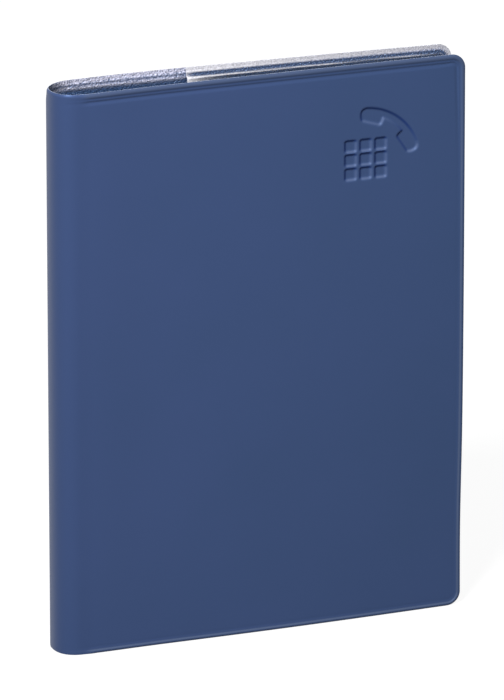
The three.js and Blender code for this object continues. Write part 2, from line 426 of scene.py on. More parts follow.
def spine_point(side, angle, depth, z):
    """Plan place of a point of the superelliptic spine, with y as if for the back cover.
    The angle is negative, from 0 at the cover's own hinge line."""
    to_front = (np.cos(angle) >= 0) == (side < 0)
    pinched = BACK_ROUNDNESS + (PINCHED_ROUNDNESS - BACK_ROUNDNESS) * head_rim(z)
    power = 2 / np.where(to_front, FRONT_ROUNDNESS, pinched)
    at_hinge = np.zeros_like(angle)
    half = HALF_AT_HINGE + np.where(to_front, swell_at(-1, at_hinge, z), swell_at(1, at_hinge, z))
    reach = SPINE_DEPTH + SPINE_FOOT_SPREAD * (1 - z / HEIGHT)
    normal_x = np.sin(angle) / SPINE_DEPTH
    normal_y = np.cos(angle) / HALF_AT_HINGE
    size = np.hypot(normal_x, normal_y)
    x = HINGE_X - reach * np.abs(np.sin(angle)) ** power - depth * normal_x / size
    y = half * np.sign(np.cos(angle)) * np.abs(np.cos(angle)) ** power - depth * normal_y / size
    return x, y


def cover_point(side, along, depth, z):
    """Plan place of a point of one cover: how far along from the hinge line, and how deep below its face.
    Behind the hinge line, along is minus the angle round the half-round spine, in radians."""
    panel_x, panel_y = panel_point(side, along, depth, z)
    spine_x, spine_y = spine_point(side, np.minimum(along, 0), depth, z)
    behind = along < 0
    return np.where(behind, spine_x, panel_x), side * np.where(behind, spine_y, panel_y)


def laid(side, along, z, depth):
    """Grid points of a sheet that follows one cover, at a depth below its outer face."""
    x, y = cover_point(side, along, depth, z)
    return np.stack([x, y, np.broadcast_to(z, x.shape)], axis=-1)


def bow(side, along, z):
    """How far the soft cover stands out of its flat plane, towards the outside."""
    share = np.clip(along / PANEL_LENGTH, 0, 1)
    up = z / HEIGHT
    foot, head = (FRONT_FOOT_BOW, FRONT_HEAD_BOW) if side < 0 else (BACK_FOOT_BOW, BACK_HEAD_BOW)
    arch = np.sin(math.pi * share) * (foot + (head - foot) * up)
    edge = FORE_EDGE_BOW * share**2 * np.sin(math.pi * up)
    return arch + edge


def head_share(along, z):
    """1 beside the head, less so along the top of the fore-edge, and 0 beside the foot and the rest of it."""
    from_head = HEIGHT - z
    from_others = np.minimum(z, PANEL_LENGTH - along)
    beside = smooth_step(*HEAD_TURN, from_others / (from_head + from_others))
    return np.maximum(beside, HEAD_RIM_SHARE * ridge(z, HEIGHT, HEAD_RIM_REACH))


def rim_scale(distance, share):
    """Distance in from the edge, stretched where the rim is narrower than at the head."""
    return distance * (NARROWER_RIM + (1 - NARROWER_RIM) * share)


def lip_drop(along, distance, z):
    """How far the round lip at the very edge falls away. Round the foot of the spine it hardly does."""
    round_spine = smooth_step(LIP_TURN, 0, along)
    at_foot = smooth_step(HEIGHT / 2, 0, z)
    drop = LIP_DROP * (1 - np.clip(distance / LIP, 0, 1)) ** LIP_ROUNDING
    return drop * (1 - SHARP_FOOT * round_spine * at_foot)


def rim_relief(along, distance, z):
    """Height of the rim's steps and of the rise inside them, fading out round the spine.
    At the foot and the fore-edge they are closer to the edge than at the head, and the weld is fainter."""
    share = head_share(along, z)
    scaled_in = rim_scale(distance, share)
    step = OUTER_STEP_DROP * (1 - smooth_step(*OUTER_STEP, scaled_in))
    weld = WELD_STEP_DROP * (1 - smooth_step(*WELD_STEP, scaled_in))
    weld -= SWELL * (1 - smooth_step(*SWELL_RISE, scaled_in))
    weld *= FAINTER_WELD + (1 - FAINTER_WELD) * share
    return smooth_step(*RIM_FADE, along) * (step + weld) - lip_drop(along, distance, z)


def rim_painted_sheen(along, distance, z):
    """Painted sheen on the face of the vinyl at its rim: a band at the head, and a painted highlight line
    elsewhere.
    """
    share = head_share(along, z)
    scaled_in = rim_scale(distance, share)
    at_head = HEAD_SHEEN * share * (1 - smooth_step(*HEAD_SHEEN_END, scaled_in))
    elsewhere = FOOT_HIGHLIGHT * (1 - share) * ridge(scaled_in, FOOT_HIGHLIGHT_PLACE, FOOT_HIGHLIGHT_WIDTH)
    return smooth_step(*RIM_FADE, along) * (at_head + elsewhere)


def lining_painted_highlight(side, along, distance):
    """Painted highlight on the grain of the inside: most at the edge, less in the weld line, and gone below it.
    Under the pocket film it is gone past the edge, and inside the spine there is none, so the lining is dark
    there."""
    opening = 1.0
    if side < 0:
        in_spine = smooth_step(*SPINE_HIGHLIGHT_ANGLES, -along)
        opening = np.where(along < 0, in_spine, smooth_step(0, FRONT_HIGHLIGHT_REACH, along))
    covered = smooth_step(*POCKET_HIGHLIGHT_EDGE, along - (PANEL_LENGTH - POCKET_WIDTH))
    band = EDGE_HIGHLIGHT * (1 - smooth_step(*EDGE_HIGHLIGHT_END, distance))
    uncovered_highlight = OPEN_HIGHLIGHT * (1 - smooth_step(*OPEN_HIGHLIGHT_END, distance))
    uncovered_highlight += SHOULDER_HIGHLIGHT * ridge(distance, SHOULDER_HIGHLIGHT_PLACE, SHOULDER_HIGHLIGHT_WIDTH)
    return np.clip(band + (1 - covered) * uncovered_highlight, 0, 1) * opening


# The telephone sign


def handset_outline():
    """Corner points of the handset, with its bows and round corners as short runs of points."""
    centre = np.array([PANEL_LENGTH - HANDSET_FROM_FORE_EDGE, HEIGHT - HANDSET_FROM_HEAD])
    middle = math.pi / 2 - HANDSET_TILT

    def at(radius, angle):
        turned = middle - angle
        return centre + radius * np.array([math.cos(turned), math.sin(turned)])

    def curve(start, control, end):
        shares = np.linspace(0, 1, HANDSET_CORNER_POINTS)[:, None]
        return list((1 - shares) ** 2 * start + 2 * shares * (1 - shares) * control + shares**2 * end)

    handle_end = HANDSET_HALF_SPAN - HANDSET_CAP_SPAN
    cap_end = HANDSET_HALF_SPAN - HANDSET_CORNER / 2
    bow_end = HANDSET_HALF_SPAN - 2 * HANDSET_CORNER
    flared = HANDSET_CAP_RADIUS + HANDSET_CAP_FLARE
    shoulder = (HANDSET_CAP_RADIUS + HANDSET_INNER_RADIUS) / 2
    inner_angles = np.linspace(0, handle_end, HANDSET_INNER_POINTS)
    half = [at(HANDSET_INNER_RADIUS, angle) for angle in inner_angles]
    half += curve(
        at(shoulder, handle_end),
        at(HANDSET_CAP_RADIUS, handle_end),
        at(HANDSET_CAP_RADIUS, handle_end + HANDSET_CORNER),
    )
    half += curve(
        at(flared, cap_end),
        at(shoulder, HANDSET_HALF_SPAN),
        at(HANDSET_INNER_RADIUS, HANDSET_HALF_SPAN),
    )
    half += curve(
        at(HANDSET_INNER_RADIUS, HANDSET_HALF_SPAN),
        at(HANDSET_OUTER_RADIUS, HANDSET_HALF_SPAN),
        at(HANDSET_OUTER_RADIUS, bow_end),
    )
    outer_angles = np.linspace(bow_end, 0, HANDSET_OUTER_POINTS)
    half += [at(HANDSET_OUTER_RADIUS, angle) for angle in outer_angles]
    half = np.array(half)
    axis = np.array([math.cos(middle), math.sin(middle)])
    offset = half - centre
    mirrored = 2 * np.outer(offset @ axis, axis) - offset + centre
    return np.vstack([half, mirrored[::-1]])


def distance_inside(points, outline):
    """Signed distance of points to a closed outline, positive inside."""
    ends = np.roll(outline, -1, axis=0)
    nearest = np.full(len(points), FAR)
    inside = np.zeros(len(points), bool)
    for start, end in zip(outline, ends):
        run = end - start
        offset = points - start
        share = np.clip(offset @ run / max(run @ run, TINY), 0, 1)
        nearest = np.minimum(nearest, np.hypot(*(offset - share[:, None] * run).T))
        crosses = (start[1] > points[:, 1]) != (end[1] > points[:, 1])
        rise = run[1] if abs(run[1]) > TINY else TINY
        inside ^= crosses & (points[:, 0] < start[0] + run[0] * (points[:, 1] - start[1]) / rise)
    return np.where(inside, nearest, -nearest)


def inside_keypad(points):
    """Signed distance of points to the nearest of the round-cornered square keys, positive inside."""
    found = np.full(len(points), -FAR)
    reach = KEY_SIZE / 2 - KEY_CORNER
    for row in range(KEY_COUNT):
        for column in range(KEY_COUNT):
            centre_along = PANEL_LENGTH - KEYPAD_FROM_FORE_EDGE + column * KEY_COLUMN_PITCH
            centre_z = HEIGHT - KEYPAD_FROM_HEAD - row * KEY_ROW_PITCH
            across = np.abs(points[:, 0] - centre_along) - reach
            up = np.abs(points[:, 1] - centre_z) - reach
            outside = np.hypot(np.maximum(across, 0), np.maximum(up, 0))
            key = KEY_CORNER - outside - np.minimum(np.maximum(across, up), 0)
            found = np.maximum(found, key)
    return found


def sign_share(along, z):
    """How far down the pressed telephone sign each grid point is, from 0 to 1."""
    from_fore = PANEL_LENGTH - along
    from_head = HEIGHT - z
    near = (from_fore > SIGN_RIGHT - SIGN_MARGIN) & (from_fore < SIGN_LEFT + SIGN_MARGIN)
    near &= (from_head > SIGN_TOP - SIGN_MARGIN) & (from_head < SIGN_BOTTOM + SIGN_MARGIN)
    points = np.stack([along[near], z[near]], axis=1)
    inside = np.full(along.shape, -FAR)
    inside[near] = np.maximum(distance_inside(points, handset_outline()), inside_keypad(points))
    low = SIGN_INSET - SIGN_WALL / 2
    high = SIGN_INSET + SIGN_WALL / 2
    straight = np.clip((inside - low) / SIGN_WALL, 0, 1)
    eased = smooth_step(low, high, inside)
    return straight + SIGN_WALL_EASE * (eased - straight)


def wall_painted_light(sign, along, z):
    """Painted light on each wall of the sign: how much painted highlight it has, and how much painted shade.
    The walls that face up and left, towards the key light, get the highlight, and the others get the shade."""
    steep_along = np.gradient(sign, axis=1) / np.maximum(np.gradient(along, axis=1), TINY)
    steep_up = np.gradient(sign, axis=0) / np.gradient(z, axis=0)
    facing = SIGN_WALL * (steep_along * math.cos(KEY_LIGHT_AZIMUTH) + steep_up * math.sin(KEY_LIGHT_AZIMUTH))
    wall = 4 * sign * (1 - sign)
    return smooth_step(*WALL_HIGHLIGHT_FACING, facing) * wall, smooth_step(*WALL_SHADE_FACING, facing) * wall


# Meshes


def shell(name, outer, inner, materials, marks=None, border_slot=1):
    """A closed thin shell from two grids of points in millimetres: its face, its back and its border.
    The face takes the first material, the back the second, and the border the one of border_slot."""
    rows, columns = outer.shape[:2]
    count = rows * columns
    points = np.concatenate([outer.reshape(-1, 3), inner.reshape(-1, 3)]) * MM
    index = np.arange(count).reshape(rows, columns)
    corner = [index[:-1, :-1], index[:-1, 1:], index[1:, 1:], index[1:, :-1]]
    face = np.stack([part.ravel() for part in corner], axis=1)
    back = face[:, ::-1] + count
    loop = np.concatenate([index[0, :-1], index[:-1, -1], index[-1, :0:-1], index[:0:-1, 0]])
    following = np.roll(loop, -1)
    border = np.stack([loop, loop + count, following + count, following], axis=1)
    faces = np.concatenate([face, back, border])
    mesh = bpy.data.meshes.new(name)
    mesh.from_pydata(points.tolist(), [], faces.tolist())
    mesh.validate()
    slots = np.concatenate([np.zeros(len(face)), np.ones(len(back)), np.full(len(border), border_slot)])
    for material in materials:
        mesh.materials.append(material)
    mesh.polygons.foreach_set("material_index", slots.astype(np.int32))
    mesh.polygons.foreach_set("use_smooth", np.ones(len(faces), bool))
    for label, values in (marks or {}).items():
        attribute = mesh.attributes.new(label, "FLOAT", "POINT")
        doubled = np.concatenate([values.ravel(), values.ravel()]).astype(np.float32)
        attribute.data.foreach_set("value", doubled)
    mesh.update()
    made = bpy.data.objects.new(name, mesh)
    bpy.context.scene.collection.objects.link(made)
    return made


def face_outward(made, side):
    """Turns the back's mesh faces over, because its grid is laid out as the front's, and keeps edges sharp."""
    if side > 0:
        made.data.flip_normals()
    made.data.set_sharp_from_angle(angle=SHARP_ANGLE)
    return made


# Material nodes


def new_material(name):
    material = bpy.data.materials.new(name)
    material.use_nodes = True
    nodes = material.node_tree.nodes
    return material, nodes, material.node_tree.links, nodes["Principled BSDF"]


def place_node(nodes):
    """Texture coordinates in the row frame, in metres."""
    return nodes.new("ShaderNodeTexCoord").outputs["Object"]


def axes_of(nodes, links, place):
    node = nodes.new("ShaderNodeSeparateXYZ")
    links.new(place, node.inputs["Vector"])
    return node.outputs


def noise(nodes, links, place, scale, detail=2.0, roughness=0.5):
    node = nodes.new("ShaderNodeTexNoise")
    node.inputs["Scale"].default_value = scale
    node.inputs["Detail"].default_value = detail
    node.inputs["Roughness"].default_value = roughness
    links.new(place, node.inputs["Vector"])
    return node.outputs["Fac"]


def grain_noise(nodes, links, place):
    """The coarse grain that the lining and the film have."""
    return noise(nodes, links, place, scale=1700, detail=3, roughness=0.7)


def bump(nodes, links, height, distance, strength, under=None):
    node = nodes.new("ShaderNodeBump")
    node.inputs["Distance"].default_value = distance
    node.inputs["Strength"].default_value = strength
    links.new(height, node.inputs["Height"])
    if under is not None:
        links.new(under, node.inputs["Normal"])
    return node.outputs["Normal"]


def ramp(nodes, links, value, low, high, low_colour, high_colour):
    node = nodes.new("ShaderNodeValToRGB")
    node.color_ramp.elements[0].position = low
    node.color_ramp.elements[0].color = (*low_colour, 1)
    node.color_ramp.elements[1].position = high
    node.color_ramp.elements[1].color = (*high_colour, 1)
    links.new(value, node.inputs["Fac"])
    return node.outputs["Color"]


def attribute_value(nodes, name):
    node = nodes.new("ShaderNodeAttribute")
    node.attribute_name = name
    return node.outputs["Fac"]


def calculated(nodes, links, operation, *values, clamped=False):
    """The result of any Math operation on node outputs and plain numbers."""
    node = nodes.new("ShaderNodeMath")
    node.operation = operation
    node.use_clamp = clamped
    for socket, value in zip(node.inputs, values):
        if isinstance(value, bpy.types.NodeSocket):
            links.new(value, socket)
        else:
            socket.default_value = value
    return node.outputs["Value"]


def multiplied(nodes, links, first, second):
    return calculated(nodes, links, "MULTIPLY", first, second, clamped=True)


def mapped(nodes, links, value, low, high, new_low, new_high):
    node = nodes.new("ShaderNodeMapRange")
    node.inputs["From Min"].default_value = low
    node.inputs["From Max"].default_value = high
    node.inputs["To Min"].default_value = new_low
    node.inputs["To Max"].default_value = new_high
    links.new(value, node.inputs["Value"])
    return node.outputs["Result"]


def mixed(nodes, links, share, first, second):
    """The first colour, with a share of a plain second one over it."""
    node = nodes.new("ShaderNodeMix")
    node.data_type = "RGBA"
    first_colour, second_colour = (socket for socket in node.inputs if socket.type == "RGBA")
    links.new(share, node.inputs["Factor"])
    links.new(first, first_colour)
    second_colour.default_value = (*second, 1)
    return next(socket for socket in node.outputs if socket.type == "RGBA")


def scaled(nodes, links, colour, amount):
    node = nodes.new("ShaderNodeVectorMath")
    node.operation = "SCALE"
    links.new(colour, node.inputs[0])
    links.new(amount, node.inputs["Scale"])
    return node.outputs["Vector"]


# Materials


def vinyl_face():
    """The outside of the cover: smooth satin vinyl with a very fine skin."""
    material, nodes, links, shader = new_material("blue_vinyl_face")
    place = place_node(nodes)
    across = axes_of(nodes, links, place)["X"]
    cloud = noise(nodes, links, place, scale=22, detail=3)
    # Painted shade: paler at the hinge and darker towards the fore-edge, added to a random cloud of tone
    painted_gradient = mapped(nodes, links, across, HINGE_X * MM, FORE_X * MM, PAINTED_SHADE_SHIFT, -PAINTED_SHADE_SHIFT)
    tone_with_painted_gradient = calculated(nodes, links, "ADD", cloud, painted_gradient)
    colour = ramp(nodes, links, tone_with_painted_gradient, 0, 1, VINYL_DARK, VINYL_PALE)
    # Darker round the spine, up to just past the hinge line; the rim's painted sheen fades there too
    darkening_end = HINGE_X + DARKENING_PAST_HINGE
    darker_at_spine = mapped(nodes, links, across, SPINE_X * MM, darkening_end * MM, SPINE_DARKEST, 1)
    # Painted sheen at the rim of the face, from the rim mark
    rim_sheen_share = multiplied(nodes, links, attribute_value(nodes, "rim"), darker_at_spine)
    paler = mixed(nodes, links, rim_sheen_share, colour, VINYL_RIM_SHEEN)
    paler = scaled(nodes, links, paler, darker_at_spine)
    # Painted highlight on the sign's walls that face the key light, and painted shade with less sheen on those
    # that face away
    with_wall_highlight = mixed(nodes, links, attribute_value(nodes, "wall_highlight_share"), paler, VINYL_WALL_HIGHLIGHT)
    wall_shade_share = attribute_value(nodes, "wall_shade_share")
    with_wall_shade = mixed(nodes, links, wall_shade_share, with_wall_highlight, VINYL_WALL_SHADE)
    links.new(with_wall_shade, shader.inputs["Base Color"])
    shader.inputs["Specular IOR Level"].default_value = FACE_SHEEN
    sheen = mapped(nodes, links, wall_shade_share, 0, 1, FACE_SHEEN, WALL_SHADE_SHEEN)
    links.new(sheen, shader.inputs["Specular IOR Level"])
    shader.inputs["Specular Tint"].default_value = (*VINYL_SHEEN_TINT, 1)
    shader.inputs["Roughness"].default_value = 0.42
    wave = noise(nodes, links, place, scale=60)
    normal = bump(nodes, links, wave, distance=0.0002, strength=0.2)
    skin = noise(nodes, links, place, scale=2600)
    normal = bump(nodes, links, skin, distance=0.00003, strength=0.4, under=normal)
    links.new(normal, shader.inputs["Normal"])
    return material


def vinyl_lining():
    """The inside of the cover: the same vinyl with a coarse glossy grain, with a painted highlight at the rim.
    """
    material, nodes, links, shader = new_material("blue_vinyl_lining")
    place = place_node(nodes)
    grain = grain_noise(nodes, links, place)
    speckle = mapped(nodes, links, grain, *GRAIN_RANGE, *LINING_SPECKLE)
    # The painted highlight at the rim, broken up by the grain's speckle
    highlight_share = multiplied(nodes, links, attribute_value(nodes, "grain_highlight_share"), speckle)
    colour = ramp(nodes, links, highlight_share, 0, 1, LINING_DARK, LINING_HIGHLIGHT)
    links.new(colour, shader.inputs["Base Color"])
    cell = nodes.new("ShaderNodeTexVoronoi")
    cell.inputs["Scale"].default_value = 1300
    links.new(place, cell.inputs["Vector"])
    normal = bump(nodes, links, cell.outputs["Distance"], distance=0.0005, strength=0.8)
    normal = bump(nodes, links, grain, distance=0.0004, strength=0.6, under=normal)
    links.new(normal, shader.inputs["Normal"])
    shader.inputs["Roughness"].default_value = 0.25
    shader.inputs["Specular IOR Level"].default_value = 0.6
    shader.inputs["Specular Tint"].default_value = (*LINING_SHEEN_TINT, 1)
    return material


def clear_film():
    """The pocket film: clear and glossy with a faint haze, and white with painted highlights where it is
    welded, creased or cut.
    """
    material, nodes, links, shader = new_material("clear_film")
    grain = grain_noise(nodes, links, place_node(nodes))
    speckle = mapped(nodes, links, grain, *GRAIN_RANGE, *FILM_SPECKLE)
    # Where the mark holds painted highlights, the film turns white and opaque, broken up by its grain
    alpha = multiplied(nodes, links, attribute_value(nodes, "haze_and_highlight_share"), speckle)
    links.new(alpha, shader.inputs["Alpha"])
    normal = bump(nodes, links, grain, distance=0.0003, strength=0.7)
    links.new(normal, shader.inputs["Normal"])
    shader.inputs["Base Color"].default_value = (*FILM_WHITE, 1)
    shader.inputs["Roughness"].default_value = 0.25
    return material


def plain_card():
    """Uncoated card with a faint fibre."""
    material, nodes, links, shader = new_material("cover_card")
    fibre = noise(nodes, links, place_node(nodes), scale=700, detail=4, roughness=0.6)
    colour = ramp(nodes, links, fibre, *NOISE_RANGE, CARD_DARK, CARD_PALE)
    links.new(colour, shader.inputs["Base Color"])
    normal = bump(nodes, links, fibre, distance=0.00005, strength=0.5)
    links.new(normal, shader.inputs["Normal"])
    shader.inputs["Roughness"].default_value = 0.75
    shader.inputs["Specular IOR Level"].default_value = 0.3
    return material


def leaf_edges():
    """Paper whose cut edges show the leaves as fine lines that follow the block's wedge."""
    material, nodes, links, shader = new_material("leaf_edges")
    axes = axes_of(nodes, links, place_node(nodes))
    half_at_middle = (HALF_AT_FORE + FORE_X * math.tan(WEDGE)) * MM
    half = calculated(nodes, links, "MULTIPLY_ADD", axes["X"], -math.tan(WEDGE), half_at_middle)
    leaves = nodes.new("ShaderNodeTexNoise")
    leaves.noise_dimensions = "1D"
    leaves.inputs["Scale"].default_value = 70
    leaves.inputs["Detail"].default_value = 3
    leaves.inputs["Roughness"].default_value = 0.8
    links.new(calculated(nodes, links, "DIVIDE", axes["Y"], half), leaves.inputs["W"])
    # Darker than the page paper: painted shade of the gaps between the leaves
    colour = ramp(nodes, links, leaves.outputs["Fac"], *NOISE_RANGE, LEAF_DARK, LEAF_PALE)
    links.new(colour, shader.inputs["Base Color"])
    normal = bump(nodes, links, leaves.outputs["Fac"], distance=0.00015, strength=0.6)
    links.new(normal, shader.inputs["Normal"])
    shader.inputs["Roughness"].default_value = 0.85
    shader.inputs["Specular IOR Level"].default_value = 0.2
    return material


def ruled_page():
    """A page with fine printed rules for names and numbers, clear of its margins and its index strip."""
    material, nodes, links, shader = new_material("ruled_page")
    place = place_node(nodes)
    axes = axes_of(nodes, links, place)
    across = axes["X"]
    up = axes["Z"]
    turns = calculated(nodes, links, "MULTIPLY", up, 1 / (RULE_PITCH * MM))
    step = calculated(nodes, links, "FRACT", turns)
    rule = calculated(nodes, links, "LESS_THAN", step, RULE_WIDTH / RULE_PITCH)
    for value, limit, operation in (
        (across, BLOCK_LOW.x + PAGE_MARGIN, "GREATER_THAN"),
        (across, BLOCK_HIGH.x - INDEX_TAB_WIDTH - RULE_TO_INDEX, "LESS_THAN"),
        (up, BLOCK_LOW.z + PAGE_MARGIN, "GREATER_THAN"),
        (up, BLOCK_HIGH.z - PAGE_HEADING, "LESS_THAN"),
    ):
        kept = calculated(nodes, links, operation, value, limit * MM)
        rule = multiplied(nodes, links, rule, kept)
    colour = ramp(nodes, links, rule, 0, 1, PAGE_PAPER, RULE_BLUE)
    links.new(colour, shader.inputs["Base Color"])
    fibre = noise(nodes, links, place, scale=900, detail=3, roughness=0.6)
    normal = bump(nodes, links, fibre, distance=0.00003, strength=0.4)
    links.new(normal, shader.inputs["Normal"])
    shader.inputs["Roughness"].default_value = 0.8
    shader.inputs["Specular IOR Level"].default_value = 0.25
    return material


def index_ink():
    """The dark blue print of the index letters."""
    material, _, _, shader = new_material("index_ink")
    shader.inputs["Base Color"].default_value = (*INK, 1)
    shader.inputs["Roughness"].default_value = 0.7
    return material


# The cover


def cover_panel(name, side, spine_angles, fine_along, fine_z, materials):
    """One cover as a soft sheet, with the columns behind its hinge line at spine_angles."""
    stretches = coarse_around(HINGE_ZONE, PANEL_LENGTH - RIM_REACH, fine_along)
    stretches.append((0, HINGE_ZONE, HINGE_STEP))
    stretches.append((PANEL_LENGTH - RIM_REACH, PANEL_LENGTH, RIM_STEP))
    panel_lines = with_lip(lines(*stretches), high=PANEL_LENGTH)
    along_lines = np.concatenate([-spine_angles, panel_lines])
    along, z = cover_grid(along_lines, rows_between(0, HEIGHT, fine_z))
    distance = edge_distance(along, z)
    out = bow(side, along, z) + rim_relief(along, distance, z)
    sign = sign_share(along, z) if fine_along else np.zeros(along.shape)
    face_depth = SIGN_DEPTH * sign - out
    back_depth = VINYL - out - lip_drop(along, distance, z)
    back_depth = np.maximum(back_depth, face_depth + PRESSED_VINYL)
    outer = laid(side, along, z, face_depth)
    inner = laid(side, along, z, back_depth)
    # Painted highlight and painted shade on the sign's walls
    wall_highlight_share, wall_shade_share = wall_painted_light(sign, along, z)
    # The marks: painted highlight on the lining's grain, painted sheen on the face's rim, and painted light on
    # the sign's walls
    marks = {
        "grain_highlight_share": lining_painted_highlight(side, along, distance),
        "rim": rim_painted_sheen(along, distance, z),
        "wall_highlight_share": wall_highlight_share,
        "wall_shade_share": wall_shade_share,
    }
    border_slot = 0 if side < 0 else 1
    return face_outward(shell(name, outer, inner, materials, marks, border_slot), side)


def make_covers():
    """The front cover with the spine and the pressed sign, and the back cover."""
    materials = [vinyl_face(), vinyl_lining()]
    fine_along = [(PANEL_LENGTH - SIGN_LEFT, PANEL_LENGTH - SIGN_RIGHT)]
    fine_z = [(HEIGHT - SIGN_BOTTOM, HEIGHT - SIGN_TOP)]
    front = cover_panel("front_wrap", -1, ROUND_SPINE, fine_along, fine_z, materials)
    back = cover_panel("back_wrap", 1, SEAM_ONLY, [], [], materials)
    return front, back


# The pocket films


def grown(value_and_growth, mouth):
    """A value at the fore-edge with its share of growth towards the open edge, the pocket's mouth."""
    value, growth = value_and_growth
    return value + growth * mouth


def film_haze_and_highlights(from_mouth, distance, mouth, crease, width):
    """How white the film is: a faint haze of its own, and painted highlights in its weld, along its crease,
    along the cut at its open edge and beside that cut.
    """
    # Painted highlights in the weld, along the crease, at the cut and beside it; only the haze is the film's
    # own
    weld_end = smooth_step(grown(WELD_HIGHLIGHT_START, mouth), grown(WELD_HIGHLIGHT_END, mouth), distance)
    weld = grown(WELD_HIGHLIGHT, mouth) * (1 - weld_end)
    fold = grown(CREASE_HIGHLIGHT, mouth)
    fold = fold * ridge(distance, crease + CREASE_HIGHLIGHT_SHIFT, CREASE_HIGHLIGHT_WIDTH * width)
    cut = CUT_HIGHLIGHT * np.exp(-from_mouth / CUT_HIGHLIGHT_REACH)
    near_mouth = MOUTH_HIGHLIGHT * np.exp(-from_mouth / MOUTH_HIGHLIGHT_REACH)
    near_mouth = near_mouth * smooth_step(*MOUTH_HIGHLIGHT_START, distance)
    near_mouth = near_mouth * ridge(distance, MOUTH_HIGHLIGHT_PLACE, MOUTH_HIGHLIGHT_WIDTH)
    return np.clip(FILM_HAZE + weld + fold + cut + near_mouth, 0, 1)


def pocket_film(name, side, material):
    """A clear film that lies on the vinyl in its weld, steps off it at a crease, and ends at its mouth."""
    left = PANEL_LENGTH - POCKET_WIDTH
    inset = FRONT_FILM_INSET if side < 0 else 0.0
    stretches = (
        (left, left + MOUTH_ZONE, MOUTH_STEP),
        (left + MOUTH_ZONE, PANEL_LENGTH - RIM_REACH, COARSE_STEP),
        (PANEL_LENGTH - RIM_REACH, PANEL_LENGTH, RIM_STEP),
    )
    along_lines = with_lip(lines(*stretches), high=PANEL_LENGTH)
    along, z = cover_grid(along_lines, rows_between(inset, HEIGHT - inset))
    distance = edge_distance(along, z)
    from_mouth = along - left
    mouth = 1 - np.clip(from_mouth / POCKET_WIDTH, 0, 1)
    crease = grown(CREASE_PLACE, mouth)
    width = grown(CREASE_WIDTH, mouth**CREASE_WIDENING)
    raised = smooth_step(crease - width, crease + width, distance)
    flare = MOUTH_FLARE * np.exp(-from_mouth / MOUTH_FLARE_REACH) * raised
    out = bow(side, along, z) + rim_relief(along, distance, z) + lip_drop(along, distance, z)
    depth = VINYL + FILM_GAP - out + (FILM_DEPTH - VINYL) * raised + flare
    face = laid(side, along, z, depth + FILM)
    back = laid(side, along, z, depth)
    haze_and_highlight_share = film_haze_and_highlights(from_mouth, distance, mouth, crease, width)
    made = shell(name, back, face, [material, material], {"haze_and_highlight_share": haze_and_highlight_share})
    return face_outward(made, side)


# The card wrap


def card_sheet(name, side, spine_angles, material):
    """One cover of the card wrap, with the columns behind its hinge line at spine_angles."""
    bottom = HEAD_RECESS - PAGES_DROP
    top = HEIGHT - HEAD_RECESS - PAGES_DROP
    panel_lines = lines(
        (0, HINGE_ZONE, HINGE_STEP),
        (HINGE_ZONE, CARD_LENGTH - CARD_RIM_REACH, COARSE_STEP),
        (CARD_LENGTH - CARD_RIM_REACH, CARD_LENGTH, CARD_RIM_STEP),
    )
    z_lines = lines(
        (bottom, bottom + CARD_RIM_REACH, CARD_RIM_STEP),
        (bottom + CARD_RIM_REACH, top - CARD_RIM_REACH, COARSE_STEP),
        (top - CARD_RIM_REACH, top, CARD_RIM_STEP),
    )
    along_lines = np.concatenate([-spine_angles, with_lip(panel_lines, high=CARD_LENGTH)])
    along, z = np.meshgrid(along_lines, with_lip(z_lines, bottom, top))
    along = fit_corner(along, z, CARD_CORNER_RADIUS, CARD_LENGTH, bottom, top)
    depth = CARD_DEPTH - bow(side, along, z)
    outer = laid(side, along, z, depth)
    inner = laid(side, along, z, depth + CARD)
    behind = along < 0
    ease = smooth_step(0, CARD_EASE, along)
    for grid, inset in ((outer, 0), (inner, CARD)):
        half = CARD_SPINE_HIGH.y - inset
        round_x = HINGE_X + (HINGE_X - CARD_SPINE_LOW.x - inset) * np.sin(along)
        grid[..., 0] = np.where(behind, round_x, grid[..., 0])
        eased = side * half + ease * (grid[..., 1] - side * half)
        grid[..., 1] = np.where(behind, side * half * np.cos(along), eased)
    return face_outward(shell(name, outer, inner, [material, material]), side)


# The pages


def make_pages():
    """The block of leaves: ruled on the faces of its pages, and lined with leaves on its cut edges."""
    made = frame["nodes"]["page_block"].copy()
    made.data = made.data.copy()
    made.name = "leaves"
    made.data.transform(Matrix.Translation((0, 0, -PAGES_DROP * MM)))
    made.data.materials.clear()
    made.data.materials.append(ruled_page())
    made.data.materials.append(leaf_edges())
    bpy.context.scene.collection.objects.link(made)
    for face in made.data.polygons:
        on_page = abs(face.normal.y) > math.cos(2 * WEDGE)
        face.material_index = 0 if on_page else 1
    return made


def letter_places():
    """Each index letter with its place at the middle of its own step of the fore-edge."""
    x = BLOCK_HIGH.x - INDEX_TAB_WIDTH / 2
    half = BLOCK_HIGH.y - (x - HINGE_X) * math.tan(WEDGE)
    row_height = (BLOCK_HIGH.z - BLOCK_LOW.z) / INDEX_TABS
    for row, letter in enumerate(INDEX_LETTERS):
        y = -half + 2 * half * row / INDEX_TABS - LETTER_THICKNESS
        z = BLOCK_HIGH.z - PAGES_DROP - (row + 0.5) * row_height
        yield letter, (x * MM, y * MM, z * MM)


def new_letter(letter, place):
    words = bpy.data.curves.new("index_letter", "FONT")
    words.body = letter
    words.size = (LETTER_SIZE if len(letter) == 1 else SMALL_LETTER_SIZE) * MM
    words.extrude = LETTER_THICKNESS / 2 * MM
    words.align_x = "CENTER"
    words.align_y = "CENTER"
    words.resolution_u = LETTER_CURVE_STEPS
    made = bpy.data.objects.new("index_letter", words)
    made.location = place
    made.rotation_euler = (math.pi / 2, 0, WEDGE)
    bpy.context.scene.collection.objects.link(made)
    return made


